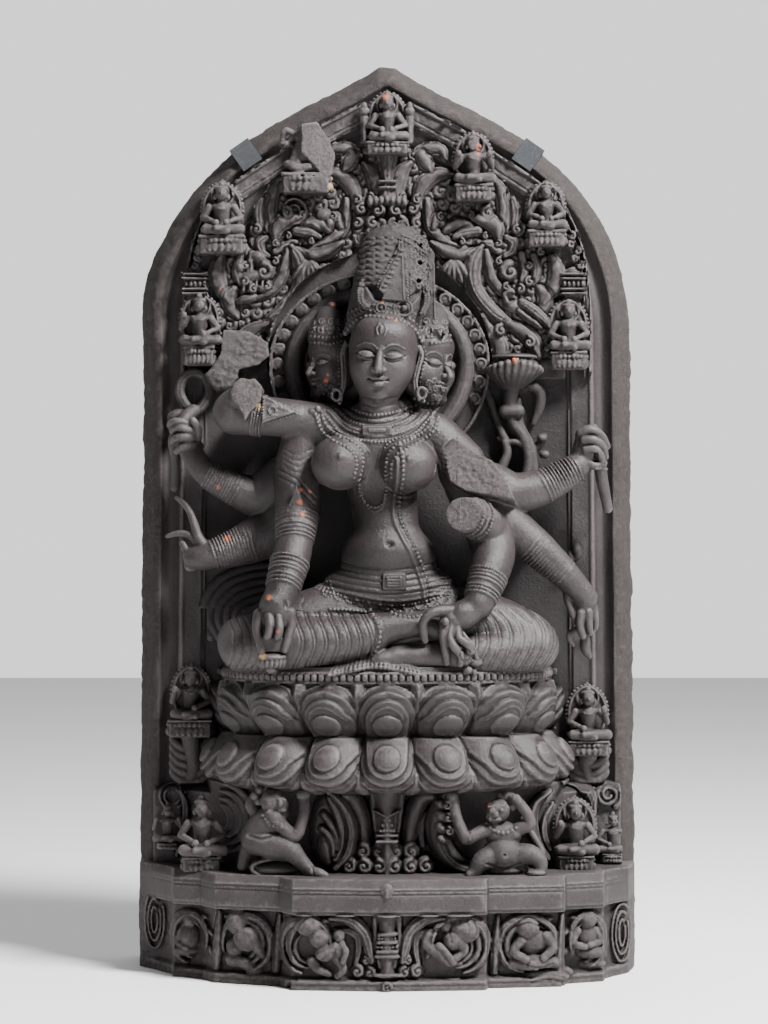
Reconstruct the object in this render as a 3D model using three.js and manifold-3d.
// A carved dark stone stele: an eight-armed goddess sits cross-legged on a double lotus in front
// of a pointed slab with a moulded rim, scrollwork and small shrines, over a stepped pedestal with
// crouching dwarfs and a frieze of scroll roundels. The stele is one stone. Two bent metal clips
// hook over its shoulders.
// Millimetres. +X is to the right of someone who faces the carving, +Z is up, the front faces -Y,
// and the origin is under the middle of the stele, on the surface that it stands on.
import * as THREE from "three";
import { mergeVertices } from "three/addons/utils/BufferGeometryUtils.js";
import Module from "manifold-3d";

const wasm = await Module();
wasm.setup();

// Driving dimensions of the slab
const HEIGHT = 1200;
const DEPTH = 320;
const SLAB_THICKNESS = 95;
const HALF_WIDTH_FOOT = 331;
const HALF_WIDTH_SPRING = 324;
const SPRING_Z = 850;
const SHOULDER_RADIUS = 300;
const PEAK_Z = 1205;
const EDGE_BEVEL = 20;
const BEVEL_DEPTH = 38;
const COVE_DEPTH = 14;
const PANEL_DEPTH = 8;

// Insets of the rim's mouldings from the slab's outline
const COVE_OUTER = 25;
const COVE_INNER = 45;
const BAND_INNER = 70;

// Driving dimensions of the pedestal and the seat
const FOOT_TOP = 14;
const FRIEZE_TOP = 106;
const LEDGE_TOP = 146;
const LOTUS_BOTTOM = 256;
const LOTUS_WAIST = 322;
const LOTUS_TOP = 388;
const SEAT_TOP = 404;
const FRIEZE_INSET = 16;

// Metal clips on the slab's shoulders, and their clearance to the stone
const CLIP_WIDTH = 30;
const CLIP_THICKNESS = 4;
const CLIP_REACH = 34;
const CLIP_GAP = 0.5;
const CLIP_ANGLE = THREE.MathUtils.degToRad(55);

const BACK_Y = DEPTH / 2;
const FACE_Y = BACK_Y - SLAB_THICKNESS;
const LEDGE_REACH = FACE_Y + DEPTH / 2;

// The slab's upper edges run straight from the peak onto the round shoulders. Its top is blunt.
const SHOULDER_X = HALF_WIDTH_SPRING - SHOULDER_RADIUS;
const PEAK_TO_SHOULDER = new THREE.Vector2(SHOULDER_X, SPRING_Z - PEAK_Z);
const EDGE_SLOPE =
  PEAK_TO_SHOULDER.angle() - 2 * Math.PI + Math.asin(SHOULDER_RADIUS / PEAK_TO_SHOULDER.length());
const SHOULDER_FACETS = 7;

// A place on the carving: x across, z up, and how far it stands out from the slab's face.
function at(x, z, out) {
  return new THREE.Vector3(x, FACE_Y - out, z);
}

// Facets around an arm or a leg, and around a finger, stem or scroll
const LIMB_SIDES = 6;
const STEM_SIDES = 4;

// A closed geometry as a solid that can be joined and cut.
function solid(geometry) {
  const bare = geometry.index ? geometry.toNonIndexed() : geometry.clone();
  const positions = new THREE.BufferGeometry();
  positions.setAttribute("position", bare.getAttribute("position"));
  const merged = mergeVertices(positions, 1e-3);
  return new wasm.Manifold(
    new wasm.Mesh({
      numProp: 3,
      vertProperties: merged.attributes.position.array,
      triVerts: new Uint32Array(merged.index.array),
    }),
  );
}

// A named mesh from a solid.
function meshOf(name, body, material) {
  const made = body.getMesh();
  const positions = new Float32Array(made.numVert * 3);
  for (let i = 0; i < made.numVert; i++) {
    positions.set(
      made.vertProperties.subarray(i * made.numProp, i * made.numProp + 3),
      i * 3,
    );
  }
  const geometry = new THREE.BufferGeometry();
  geometry.setAttribute("position", new THREE.BufferAttribute(positions, 3));
  geometry.setIndex(new THREE.BufferAttribute(new Uint32Array(made.triVerts), 1));
  geometry.computeVertexNormals();
  const mesh = new THREE.Mesh(geometry, material);
  mesh.name = name;
  return mesh;
}

// The slab's pointed outline as a shape in x and z, moved inwards by inset and cut off at bottomZ.
function slabOutline(inset, bottomZ) {
  const radius = SHOULDER_RADIUS - inset;
  const peakZ = PEAK_Z - inset / Math.cos(EDGE_SLOPE);
  const topZ = Math.min(HEIGHT - inset, peakZ - 1);
  const halfTop = (topZ - peakZ) / Math.tan(EDGE_SLOPE);
  const endAngle = Math.PI / 2 + EDGE_SLOPE;
  const batter = (HALF_WIDTH_FOOT - HALF_WIDTH_SPRING) / SPRING_Z;
  const footX = HALF_WIDTH_SPRING - inset + batter * (SPRING_Z - bottomZ);
  const shape = new THREE.Shape();
  shape.moveTo(footX, bottomZ);
  shape.lineTo(HALF_WIDTH_SPRING - inset, SPRING_Z);
  shape.absarc(SHOULDER_X, SPRING_Z, radius, 0, endAngle, false);
  shape.lineTo(halfTop, topZ);
  shape.lineTo(-halfTop, topZ);
  shape.absarc(-SHOULDER_X, SPRING_Z, radius, Math.PI - endAngle, Math.PI, false);
  shape.lineTo(-footX, bottomZ);
  shape.closePath();
  return shape;
}

// The slab's outline as a plate between two distances out from its face.
function plate(inset, bottomZ, outBack, outFront) {
  const geometry = new THREE.ExtrudeGeometry(slabOutline(inset, bottomZ), {
    depth: outFront - outBack,
    bevelEnabled: false,
    curveSegments: SHOULDER_FACETS,
  });
  geometry.rotateX(Math.PI / 2);
  geometry.translate(0, FACE_Y - outBack, 0);
  return solid(geometry);
}

// The slab: a body with bevelled edges, and the rim's cove, band and sunk panel cut into its face.
function slab() {
  const belowFoot = 60;
  const geometry = new THREE.ExtrudeGeometry(slabOutline(EDGE_BEVEL, -belowFoot), {
    depth: SLAB_THICKNESS - 2 * BEVEL_DEPTH,
    bevelThickness: BEVEL_DEPTH,
    bevelSize: EDGE_BEVEL,
    bevelSegments: 1,
    curveSegments: SHOULDER_FACETS,
  });
  geometry.rotateX(Math.PI / 2);
  geometry.translate(0, BACK_Y - BEVEL_DEPTH, 0);
  const under = block(0, -belowFoot, BACK_Y, 3 * HALF_WIDTH_FOOT, 3 * SLAB_THICKNESS, 2 * belowFoot);
  return solid(geometry)
    .subtract(under)
    .subtract(plate(COVE_OUTER, FOOT_TOP, -COVE_DEPTH, 5))
    .add(plate(COVE_INNER, FOOT_TOP, -COVE_DEPTH - 5, 2))
    .subtract(plate(BAND_INNER, LEDGE_TOP, -PANEL_DEPTH, 5));
}

// A box with its middle at x, y, z. The sizes run along X, Y and Z.
function block(x, z, y, sizeX, sizeY, sizeZ) {
  const geometry = new THREE.BoxGeometry(sizeX, sizeY, sizeZ);
  geometry.translate(x, y, z);
  return solid(geometry);
}

// The stepped plan of the pedestal: x and distance out, from left to right. The right end is fuller.
const PLAN = [
  [-322, 15],
  [-283, 80],
  [-281, 100],
  [-226, 128],
  [-224, 168],
  [-124, 188],
  [-121, 214],
  [0, LEDGE_REACH],
  [125, 214],
  [127, 196],
  [226, 184],
  [228, 158],
  [281, 132],
  [283, 108],
  [324, 52],
];

// One course of the pedestal: the plan moved inwards by inset, between two heights.
function course(inset, bottomZ, topZ) {
  const shape = new THREE.Shape();
  const rear = FACE_Y + 2 * COVE_DEPTH;
  const points = PLAN.map(
    ([x, out]) => new THREE.Vector2(x * (1 - inset / 330), FACE_Y - Math.max(out - inset, 2)),
  );
  shape.setFromPoints([
    new THREE.Vector2(points[0].x, rear),
    ...points,
    new THREE.Vector2(points.at(-1).x, rear),
  ]);
  const geometry = new THREE.ExtrudeGeometry(shape, {
    depth: topZ - bottomZ,
    bevelEnabled: false,
  });
  geometry.translate(0, 0, bottomZ);
  return solid(geometry);
}

// How far the pedestal's plan stands out at x.
function planOut(x) {
  const i = Math.max(
    1,
    PLAN.findIndex(([edge]) => edge >= x),
  );
  const [x0, out0] = PLAN[i - 1];
  const [x1, out1] = PLAN[i];
  return out0 + ((out1 - out0) * (x - x0)) / (x1 - x0);
}

// An ellipsoid. Its half sizes run across, up and out.
function lump(x, z, out, halfX, halfZ, halfOut, turn = 0, sides = 6) {
  const geometry = new THREE.SphereGeometry(1, sides, Math.max(4, sides - 2));
  geometry.rotateX(Math.PI / 2);
  geometry.scale(halfX, halfOut, halfZ);
  geometry.rotateY(-turn);
  const place = at(x, z, out);
  geometry.translate(place.x, place.y, place.z);
  return solid(geometry);
}

// A limb, stem or scroll: a closed tube through stations [x, z, out, radius], with blunt ends and
// one ridge towards the front.
function limb(stations, sides = STEM_SIDES) {
  const endShrink = 0.55;
  const centres = stations.map(([x, z, out]) => at(x, z, out));
  const radii = stations.map((station) => station[3]);
  const tangents = centres.map((_, i) => {
    const before = centres[Math.max(i - 1, 0)];
    const after = centres[Math.min(i + 1, centres.length - 1)];
    return after.clone().sub(before).normalize();
  });
  const end = centres.length - 1;
  centres.unshift(centres[0].clone().addScaledVector(tangents[0], -radii[0] * endShrink));
  centres.push(centres.at(-1).clone().addScaledVector(tangents[end], radii[end] * endShrink));
  radii.unshift(radii[0] * endShrink);
  radii.push(radii.at(-1) * endShrink);
  tangents.unshift(tangents[0]);
  tangents.push(tangents.at(-1));
  const front = new THREE.Vector3(0, -1, 0);
  const positions = [];
  const faces = [];
  centres.forEach((centre, i) => {
    const side = new THREE.Vector3().crossVectors(tangents[i], front).normalize();
    const ridge = new THREE.Vector3().crossVectors(side, tangents[i]);
    for (let s = 0; s < sides; s++) {
      const angle = (2 * Math.PI * s) / sides;
      const point = centre
        .clone()
        .addScaledVector(ridge, Math.cos(angle) * radii[i])
        .addScaledVector(side, Math.sin(angle) * radii[i]);
      positions.push(point.x, point.y, point.z);
    }
  });
  for (let r = 0; r < centres.length - 1; r++) {
    for (let s = 0; s < sides; s++) {
      const a = r * sides + s;
      const b = r * sides + ((s + 1) % sides);
      faces.push(a, b, b + sides, a, b + sides, a + sides);
    }
  }
  const tail = (centres.length - 1) * sides;
  for (let s = 1; s < sides - 1; s++) {
    faces.push(0, s + 1, s);
    faces.push(tail, tail + s, tail + s + 1);
  }
  const geometry = new THREE.BufferGeometry();
  geometry.setAttribute("position", new THREE.Float32BufferAttribute(positions, 3));
  geometry.setIndex(faces);
  return solid(geometry);
}

// A flat ring that stands on the slab: a turned rectangle, facing the front.
function ring(x, z, outBack, outFront, inner, outer, sides) {
  const profile = [
    new THREE.Vector2(inner, outBack),
    new THREE.Vector2(outer, outBack),
    new THREE.Vector2(outer, outFront),
    new THREE.Vector2(inner, outFront),
    new THREE.Vector2(inner, outBack),
  ];
  const geometry = new THREE.LatheGeometry(profile, sides);
  geometry.rotateX(Math.PI);
  geometry.translate(x, FACE_Y, z);
  return solid(geometry);
}

// A round boss that faces the front, between two distances out.
function boss(x, z, outBack, outFront, radius) {
  const sides = 8;
  const geometry = new THREE.CylinderGeometry(radius, radius, outFront - outBack, sides);
  geometry.translate(x, FACE_Y - (outBack + outFront) / 2, z);
  return solid(geometry);
}

// Joins a list of solids.
function join(parts) {
  return parts.reduce((whole, part) => whole.add(part));
}

// The seat's plan: a half oval with a flattened front. turn runs from -90 to 90 degrees.
function seatPlan(halfWidth, reach, turn) {
  const flatten = 0.82;
  const across = Math.sign(turn) * Math.abs(Math.sin(turn)) ** flatten * halfWidth;
  return [across, Math.cos(turn) ** flatten * reach];
}

// A course of the seat: the half oval between two heights.
function seatCourse(halfWidth, reach, bottomZ, topZ) {
  const segments = 12;
  const points = [new THREE.Vector2(-halfWidth, FACE_Y + 10)];
  for (let i = 0; i <= segments; i++) {
    const [x, out] = seatPlan(halfWidth, reach, Math.PI * (i / segments - 0.5));
    points.push(new THREE.Vector2(x, FACE_Y - out));
  }
  points.push(new THREE.Vector2(halfWidth, FACE_Y + 10));
  const geometry = new THREE.ExtrudeGeometry(new THREE.Shape(points), {
    depth: topZ - bottomZ,
    bevelEnabled: false,
  });
  geometry.translate(0, 0, bottomZ);
  return solid(geometry);
}

// One tier of lotus petals around the seat: a fat petal body with a raised boss on it.
function petals(halfWidth, reach, z, halfHeight, lean) {
  const perSide = 4;
  const stepTurn = THREE.MathUtils.degToRad(22.5);
  const made = [];
  for (let i = -perSide; i <= perSide; i++) {
    const turn = THREE.MathUtils.clamp(i * stepTurn, -1.5, 1.5);
    const [x, out] = seatPlan(halfWidth, reach, turn);
    const body = new THREE.SphereGeometry(1, 6, 4);
    body.rotateX(Math.PI / 2);
    body.scale(39, 20, halfHeight);
    body.rotateX(lean);
    body.rotateZ(turn);
    body.translate(x, FACE_Y - out, z);
    made.push(solid(body));
  }
  return join(made);
}

// The double lotus seat with its beaded rim.
function lotusSeat() {
  const parts = [
    seatCourse(214, 160, LOTUS_BOTTOM - 4, SEAT_TOP - 14),
    seatCourse(222, 176, SEAT_TOP - 16, SEAT_TOP),
    petals(206, 158, (LOTUS_WAIST + LOTUS_TOP) / 2, 35, -0.2),
    petals(224, 176, (LOTUS_BOTTOM + LOTUS_WAIST) / 2, 36, 0.35),
  ];
  return join(parts);
}

// A small shrine's pointed halo: a plate between the slab and the figure on its lotus block.
function shrineHalo(x, z, out, scale) {
  const halfWidth = 24 * scale;
  const shape = new THREE.Shape();
  shape.moveTo(-halfWidth, 16 * scale);
  shape.lineTo(halfWidth, 16 * scale);
  shape.lineTo(halfWidth, 66 * scale);
  shape.lineTo(0, 94 * scale);
  shape.lineTo(-halfWidth, 66 * scale);
  shape.closePath();
  const rear = 2 * PANEL_DEPTH;
  const geometry = new THREE.ExtrudeGeometry(shape, { depth: rear + out, bevelEnabled: false });
  geometry.rotateX(Math.PI / 2);
  geometry.translate(x, FACE_Y + rear, z);
  return solid(geometry);
}

// A small shrine: a lotus block, a seated figure and a pointed halo. At scale 1 it is 60 wide.
// The figure is knees, waist, shoulders, neck and head, one above the other.
function shrine(x, z, out, scale, headless = false) {
  const s = scale;
  const rear = 2 * PANEL_DEPTH;
  const seatOut = out + 16 * s;
  const seatHeight = 18 * s;
  const profile = [
    [0, 8],
    [27, 16],
    [25, 30],
    [11, 36],
    [15, 56],
    [7, 62],
    headless ? [5, 66] : [9, 70],
    [0, headless ? 70 : 84],
  ].map(([r, up]) => new THREE.Vector2(r * s, up * s));
  const figure = new THREE.LatheGeometry(profile, LIMB_SIDES);
  figure.rotateX(Math.PI / 2);
  figure.scale(1, 0.55, 1);
  figure.translate(x, FACE_Y - out, z);
  return join([
    block(x, z + seatHeight / 2, FACE_Y + (rear - seatOut) / 2, 60 * s, rear + seatOut, seatHeight),
    shrineHalo(x, z, out - 4 * s, s),
    solid(figure),
  ]);
}

// A leafy scroll: a tapering tube wound inwards, half sunk into the face at distance base. side is
// 1 for anticlockwise and -1 for clockwise.
function scroll(x, z, base, radius, startTurn, turns, side, thickness) {
  const count = Math.round(turns * 7);
  const stations = [];
  for (let i = 0; i <= count; i++) {
    const share = i / count;
    const angle = startTurn + side * turns * 2 * Math.PI * share;
    const r = radius * (1 - 0.72 * share);
    const thick = thickness * (1 - 0.45 * share);
    stations.push([x + r * Math.cos(angle), z + r * Math.sin(angle), base + 0.5 * thick, thick]);
  }
  return limb(stations);
}

// The goddess's trunk, neck, three heads, tall crown and halo ring.
function trunk() {
  return join([
    lump(0, 486, 78, 92, 50, 60, 0, 8),
    limb(
      [
        [2, 530, 90, 54],
        [2, 600, 90, 41],
        [-8, 650, 92, 54],
        [-12, 695, 90, 50],
      ],
      8,
    ),
    limb(
      [
        [-92, 716, 88, 26],
        [-20, 706, 92, 40],
        [68, 698, 86, 30],
      ],
      6,
    ),
    lump(-58, 671, 130, 36, 35, 36, 0, 8),
    lump(24, 669, 130, 36, 35, 36, 0, 8),
    limb(
      [
        [-14, 712, 92, 33],
        [-12, 765, 100, 26],
      ],
      6,
    ),
    lump(-7, 806, 114, 45, 53, 44, 0, 10),
    lump(-86, 806, 66, 24, 46, 32),
    lump(64, 800, 66, 24, 46, 32),
    limb([
      [-84, 800, 50, 34],
      [62, 796, 50, 34],
    ]),
    limb(
      [
        [0, 846, 96, 48],
        [4, 885, 88, 54],
        [6, 930, 72, 46],
        [6, 970, 56, 32],
        [6, 990, 46, 18],
      ],
      8,
    ),
    ring(-8, 800, -10, 40, 102, 121, 20),
  ]);
}

// The arms on the left of the picture: a broken one held out level, two raised hands, and the
// front one that reaches down over the knee with its palm out.
function leftArms() {
  return join([
    limb(
      [
        [-78, 722, 92, 27],
        [-140, 728, 92, 26],
        [-196, 736, 84, 31],
      ],
      LIMB_SIDES,
    ),
    limb(
      [
        [-192, 745, 92, 24],
        [-184, 766, 112, 20],
      ],
      LIMB_SIDES,
    ),
    limb(
      [
        [-110, 676, 62, 28],
        [-168, 632, 48, 34],
        [-214, 644, 52, 25],
        [-242, 660, 56, 19],
        [-262, 692, 52, 17],
        [-272, 712, 44, 14],
      ],
      LIMB_SIDES,
    ),
    limb(
      [
        [-120, 640, 60, 26],
        [-164, 582, 50, 34],
        [-200, 566, 56, 29],
        [-230, 558, 58, 22],
        [-258, 560, 54, 18],
      ],
      LIMB_SIDES,
    ),
    limb([
      [-240, 570, 58, 10],
      [-258, 602, 52, 6],
      [-272, 626, 48, 6],
    ]),
    limb([
      [-250, 578, 52, 8],
      [-284, 578, 44, 5],
    ]),
    limb(
      [
        [-112, 700, 78, 30],
        [-120, 640, 88, 31],
        [-119, 585, 108, 28],
        [-134, 536, 132, 24],
        [-146, 502, 152, 19],
      ],
      LIMB_SIDES,
    ),
    lump(-147, 476, 166, 23, 32, 15, 0, 8),
    limb([
      [-157, 460, 170, 7],
      [-160, 440, 172, 6],
    ]),
    limb([
      [-140, 462, 172, 9],
      [-142, 440, 174, 7],
    ]),
    lump(-146, 414, 170, 19, 12, 16),
    limb([
      [-146, 450, 164, 9],
      [-146, 418, 160, 9],
      [-146, 404, 146, 9],
    ]),
  ]);
}

// The arms on the right of the picture: one raised to the rim, one broken stub, one reaching down,
// and the front one whose hand rests in the lap with a flower.
function rightArms() {
  return join([
    limb(
      [
        [66, 702, 86, 31],
        [96, 676, 96, 30],
        [140, 642, 84, 30],
        [196, 640, 70, 27],
        [236, 656, 62, 22],
        [262, 684, 56, 20],
      ],
      LIMB_SIDES,
    ),
    lump(270, 698, 56, 22, 26, 18),
    limb([
      [276, 712, 60, 7],
      [280, 660, 62, 8],
      [288, 612, 60, 7],
    ]),
    limb(
      [
        [118, 640, 70, 30],
        [166, 588, 66, 31],
        [208, 556, 66, 25],
        [242, 522, 64, 20],
        [262, 494, 60, 19],
        [272, 470, 54, 11],
      ],
      LIMB_SIDES,
    ),
    limb(
      [
        [124, 650, 84, 28],
        [140, 596, 96, 27],
        [98, 605, 138, 25],
      ],
      LIMB_SIDES,
    ),
    limb(
      [
        [84, 690, 66, 28],
        [118, 610, 82, 30],
        [138, 556, 104, 30],
        [126, 510, 132, 24],
        [112, 482, 150, 20],
      ],
      LIMB_SIDES,
    ),
    lump(94, 474, 158, 30, 17, 17, 0, 8),
    limb([
      [64, 470, 160, 8],
      [52, 454, 166, 7],
      [54, 436, 168, 6],
    ]),
    limb([
      [74, 462, 166, 8],
      [78, 436, 172, 7],
      [79, 412, 172, 6],
    ]),
    limb([
      [88, 456, 170, 8],
      [98, 434, 172, 7],
      [112, 412, 168, 8],
    ]),
  ]);
}

// The crossed legs, with the shins in front.
function legs() {
  return join([
    limb(
      [
        [60, 470, 80, 42],
        [-60, 470, 96, 44],
        [-150, 446, 100, 42],
        [-190, 436, 96, 36],
      ],
      LIMB_SIDES,
    ),
    limb(
      [
        [-20, 470, 90, 42],
        [110, 462, 96, 44],
        [170, 444, 100, 42],
        [192, 438, 98, 34],
      ],
      LIMB_SIDES,
    ),
    limb(
      [
        [-186, 432, 110, 32],
        [-110, 436, 138, 33],
        [-40, 446, 146, 30],
        [20, 456, 144, 22],
        [56, 448, 140, 16],
      ],
      LIMB_SIDES,
    ),
    limb(
      [
        [190, 432, 112, 32],
        [120, 424, 136, 26],
        [40, 422, 144, 20],
        [-10, 418, 146, 14],
      ],
      LIMB_SIDES,
    ),
  ]);
}

// The noose on the left and the lotus on its stem on the right.
function attributes() {
  const loop = [];
  const turns = 8;
  const [loopX, loopZ, loopHalfWidth, loopHalfHeight] = [-256, 768, 18, 25];
  for (let i = 0; i <= turns; i++) {
    const angle = -Math.PI / 2 + (2 * Math.PI * i) / turns;
    const narrow = i === 0 || i === turns ? 0.55 : 1;
    const x = loopX + loopHalfWidth * narrow * Math.cos(angle);
    loop.push([x, loopZ + loopHalfHeight * Math.sin(angle), 6, 8]);
  }
  return join([
    limb(loop),
    limb([
      [-257, 744, 8, 12],
      [-264, 722, 20, 11],
      [-272, 704, 30, 10],
    ]),
    lump(-198, 812, 6, 34, 30, 22),
    lump(-224, 782, 4, 18, 20, 20),
    limb([
      [182, 650, 14, 9],
      [184, 700, 4, 9],
      [164, 742, 4, 9],
      [165, 774, 10, 14],
      [170, 800, 22, 28],
    ]),
    lump(170, 812, 24, 34, 17, 34, 0, 8),
    limb([
      [152, 640, 14, 9],
      [160, 690, 2, 9],
      [146, 742, 0, 8],
      [130, 774, -2, 8],
    ]),
    limb([
      [196, 650, 14, 9],
      [190, 720, 0, 8],
      [194, 768, 0, 10],
    ]),
  ]);
}

// The scrollwork of the upper field: four big coils, leaf tufts between them, and the stem
// that carries the topmost shrine.
function scrollwork() {
  const face = -PANEL_DEPTH;
  return join([
    scroll(-106, 1006, face, 48, 1.2, 1.4, -1, 18),
    scroll(110, 1002, face, 48, 1.9, 1.4, 1, 18),
    scroll(-186, 924, face, 44, 0.4, 1.4, -1, 18),
    scroll(176, 916, face, 46, 2.7, 1.4, 1, 18),
    limb([
      [-6, 990, 10, 22],
      [0, 1030, 14, 20],
      [0, 1078, 14, 24],
    ]),
    limb([
      [-14, 1030, 4, 11],
      [-36, 1052, 4, 12],
      [-78, 1062, 0, 9],
    ]),
    limb([
      [16, 1030, 4, 11],
      [38, 1052, 4, 12],
      [80, 1062, 0, 9],
    ]),
    lump(-104, 922, -2, 22, 16, 18, 0.5),
    lump(88, 928, -2, 20, 18, 18, -0.5),
    limb([
      [70, 896, 2, 14],
      [104, 872, 2, 14],
      [128, 836, 2, 12],
      [140, 800, 0, 9],
    ]),
    limb([
      [-82, 900, 2, 13],
      [-116, 876, 2, 13],
      [-142, 836, 0, 11],
    ]),
    limb([
      [150, 866, 0, 12],
      [168, 846, 2, 15],
      [196, 834, 2, 12],
    ]),
  ]);
}

// A crouching dwarf under the seat, with one knee up. side is -1 on the left and 1 on the right.
function dwarf(x, side) {
  const base = LEDGE_TOP;
  return join([
    lump(x, base + 38, 118, 27, 26, 26),
    lump(x, base + 66, 118, 23, 24, 22),
    lump(x + 2 * side, base + 92, 124, 16, 17, 16),
    limb([
      [x - 20 * side, base + 74, 122, 8],
      [x - 36 * side, base + 56, 134, 8],
      [x - 46 * side, base + 84, 130, 7],
    ]),
    limb([
      [x - 8 * side, base + 34, 130, 14],
      [x - 28 * side, base + 32, 150, 12],
      [x - 48 * side, base + 8, 154, 8],
      [x - 62 * side, base + 5, 156, 6],
    ]),
    limb([
      [x + 14 * side, base + 32, 126, 14],
      [x + 34 * side, base + 34, 138, 12],
      [x + 48 * side, base + 6, 138, 8],
    ]),
  ]);
}

// A plume of leaves that rises beside each dwarf, and the leafy post between the two plumes.
function plumes() {
  const parts = [];
  for (const side of [-1, 1]) {
    parts.push(
      limb([
        [side * 92, LEDGE_TOP + 6, 140, 8],
        [side * 64, LEDGE_TOP + 30, 132, 17],
        [side * 58, LEDGE_TOP + 66, 128, 14],
        [side * 72, LEDGE_TOP + 108, 126, 7],
      ]),
      limb([
        [side * 20, LEDGE_TOP + 20, 118, 7],
        [side * 30, LEDGE_TOP + 70, 120, 9],
        [side * 52, LEDGE_TOP + 104, 116, 8],
      ]),
    );
  }
  parts.push(
    limb([
      [0, LEDGE_TOP + 4, 124, 30],
      [0, LEDGE_TOP + 32, 124, 22],
      [0, LEDGE_TOP + 50, 122, 17],
      [0, LEDGE_TOP + 112, 122, 24],
    ]),
  );
  return join(parts);
}

// The frieze under the ledge: a row of scroll roundels, each around a small figure or beast, with
// a leafy vase in the middle.
function frieze() {
  const middle = (FOOT_TOP + FRIEZE_TOP) / 2;
  const relief = 10;
  const roundels = [
    [-288, 16],
    [-244, 24],
    [-170, 32],
    [-88, 36],
    [88, 36],
    [176, 34],
    [252, 24],
    [300, 16],
  ];
  const parts = roundels.flatMap(([x, halfWidth]) => {
    const out = planOut(x) - FRIEZE_INSET;
    return [
      boss(x, middle, out - 3 * relief, out + relief, halfWidth),
      lump(x, middle, out + relief, halfWidth * 0.55, 0.7 * halfWidth, relief),
    ];
  });
  parts.push(
    limb(
      [
        [0, FOOT_TOP + 4, 194, 26],
        [0, FOOT_TOP + 26, 198, 17],
        [0, FRIEZE_TOP - 4, 196, 24],
      ],
      LIMB_SIDES,
    ),
  );
  return join(parts);
}

// The pedestal: foot, recessed frieze wall, projecting ledge, and the wall behind the dwarfs.
function pedestal() {
  return join([
    course(4, 0, FOOT_TOP),
    course(FRIEZE_INSET, FOOT_TOP - 2, FRIEZE_TOP + 2),
    course(0, FRIEZE_TOP, LEDGE_TOP - 8),
    course(5, LEDGE_TOP - 9, LEDGE_TOP),
    seatCourse(296, 104, LEDGE_TOP - 2, LOTUS_BOTTOM),
    frieze(),
    plumes(),
    dwarf(-150, -1),
    dwarf(150, 1),
  ]);
}

// Every small shrine of the stele: x, foot z, distance out, scale, and whether its head is lost.
function shrines() {
  return join([
    shrine(0, 1082, 20, 1, true),
    shrine(-110, 1028, 20, 1, true),
    shrine(118, 1024, 20, 0.95, true),
    shrine(-222, 950, 22, 1),
    shrine(212, 962, 22, 0.95),
    shrine(-246, 812, 20, 0.9),
    shrine(240, 784, 24, 1),
    shrine(-262, 316, 26, 0.9, true),
    shrine(268, 286, 26, 0.95, true),
    shrine(-238, LEDGE_TOP - 1, 96, 0.9),
    shrine(236, LEDGE_TOP - 1, 112, 0.9, true),
    shrine(-288, LEDGE_TOP - 1, 40, 0.8),
    shrine(292, LEDGE_TOP - 1, 62, 0.85),
  ]);
}

// One metal clip: a flat strap beside the slab's edge, with a lip turned over the rim. side is -1
// on the left and 1 on the right.
function clip(side) {
  const inner = SHOULDER_RADIUS + CLIP_GAP;
  const frontY = FACE_Y - CLIP_GAP - CLIP_THICKNESS;
  const strap = new THREE.BoxGeometry(CLIP_THICKNESS, BACK_Y - frontY, CLIP_WIDTH);
  strap.translate(inner + CLIP_THICKNESS / 2, (BACK_Y + frontY) / 2, 0);
  const lip = new THREE.BoxGeometry(CLIP_REACH, CLIP_THICKNESS, CLIP_WIDTH);
  lip.translate(inner + CLIP_THICKNESS - CLIP_REACH / 2, frontY + CLIP_THICKNESS / 2, 0);
  for (const geometry of [strap, lip]) {
    geometry.rotateY(-CLIP_ANGLE);
    geometry.translate(SHOULDER_X, 0, SPRING_Z);
  }
  const body = solid(strap).add(solid(lip));
  return side > 0 ? body : body.mirror([1, 0, 0]);
}

const stone = new THREE.MeshStandardMaterial({ color: 0x4b4748, roughness: 0.62, metalness: 0 });
const steel = new THREE.MeshStandardMaterial({ color: 0x4a4d52, roughness: 0.4, metalness: 0.7 });

const stele = join([
  slab(),
  pedestal(),
  lotusSeat(),
  legs(),
  trunk(),
  leftArms(),
  rightArms(),
  attributes(),
  scrollwork(),
  shrines(),
]);

const statue = new THREE.Group();
statue.add(meshOf("stele", stele, stone));
statue.add(meshOf("clip_left", clip(-1), steel));
statue.add(meshOf("clip_right", clip(1), steel));

export default statue;
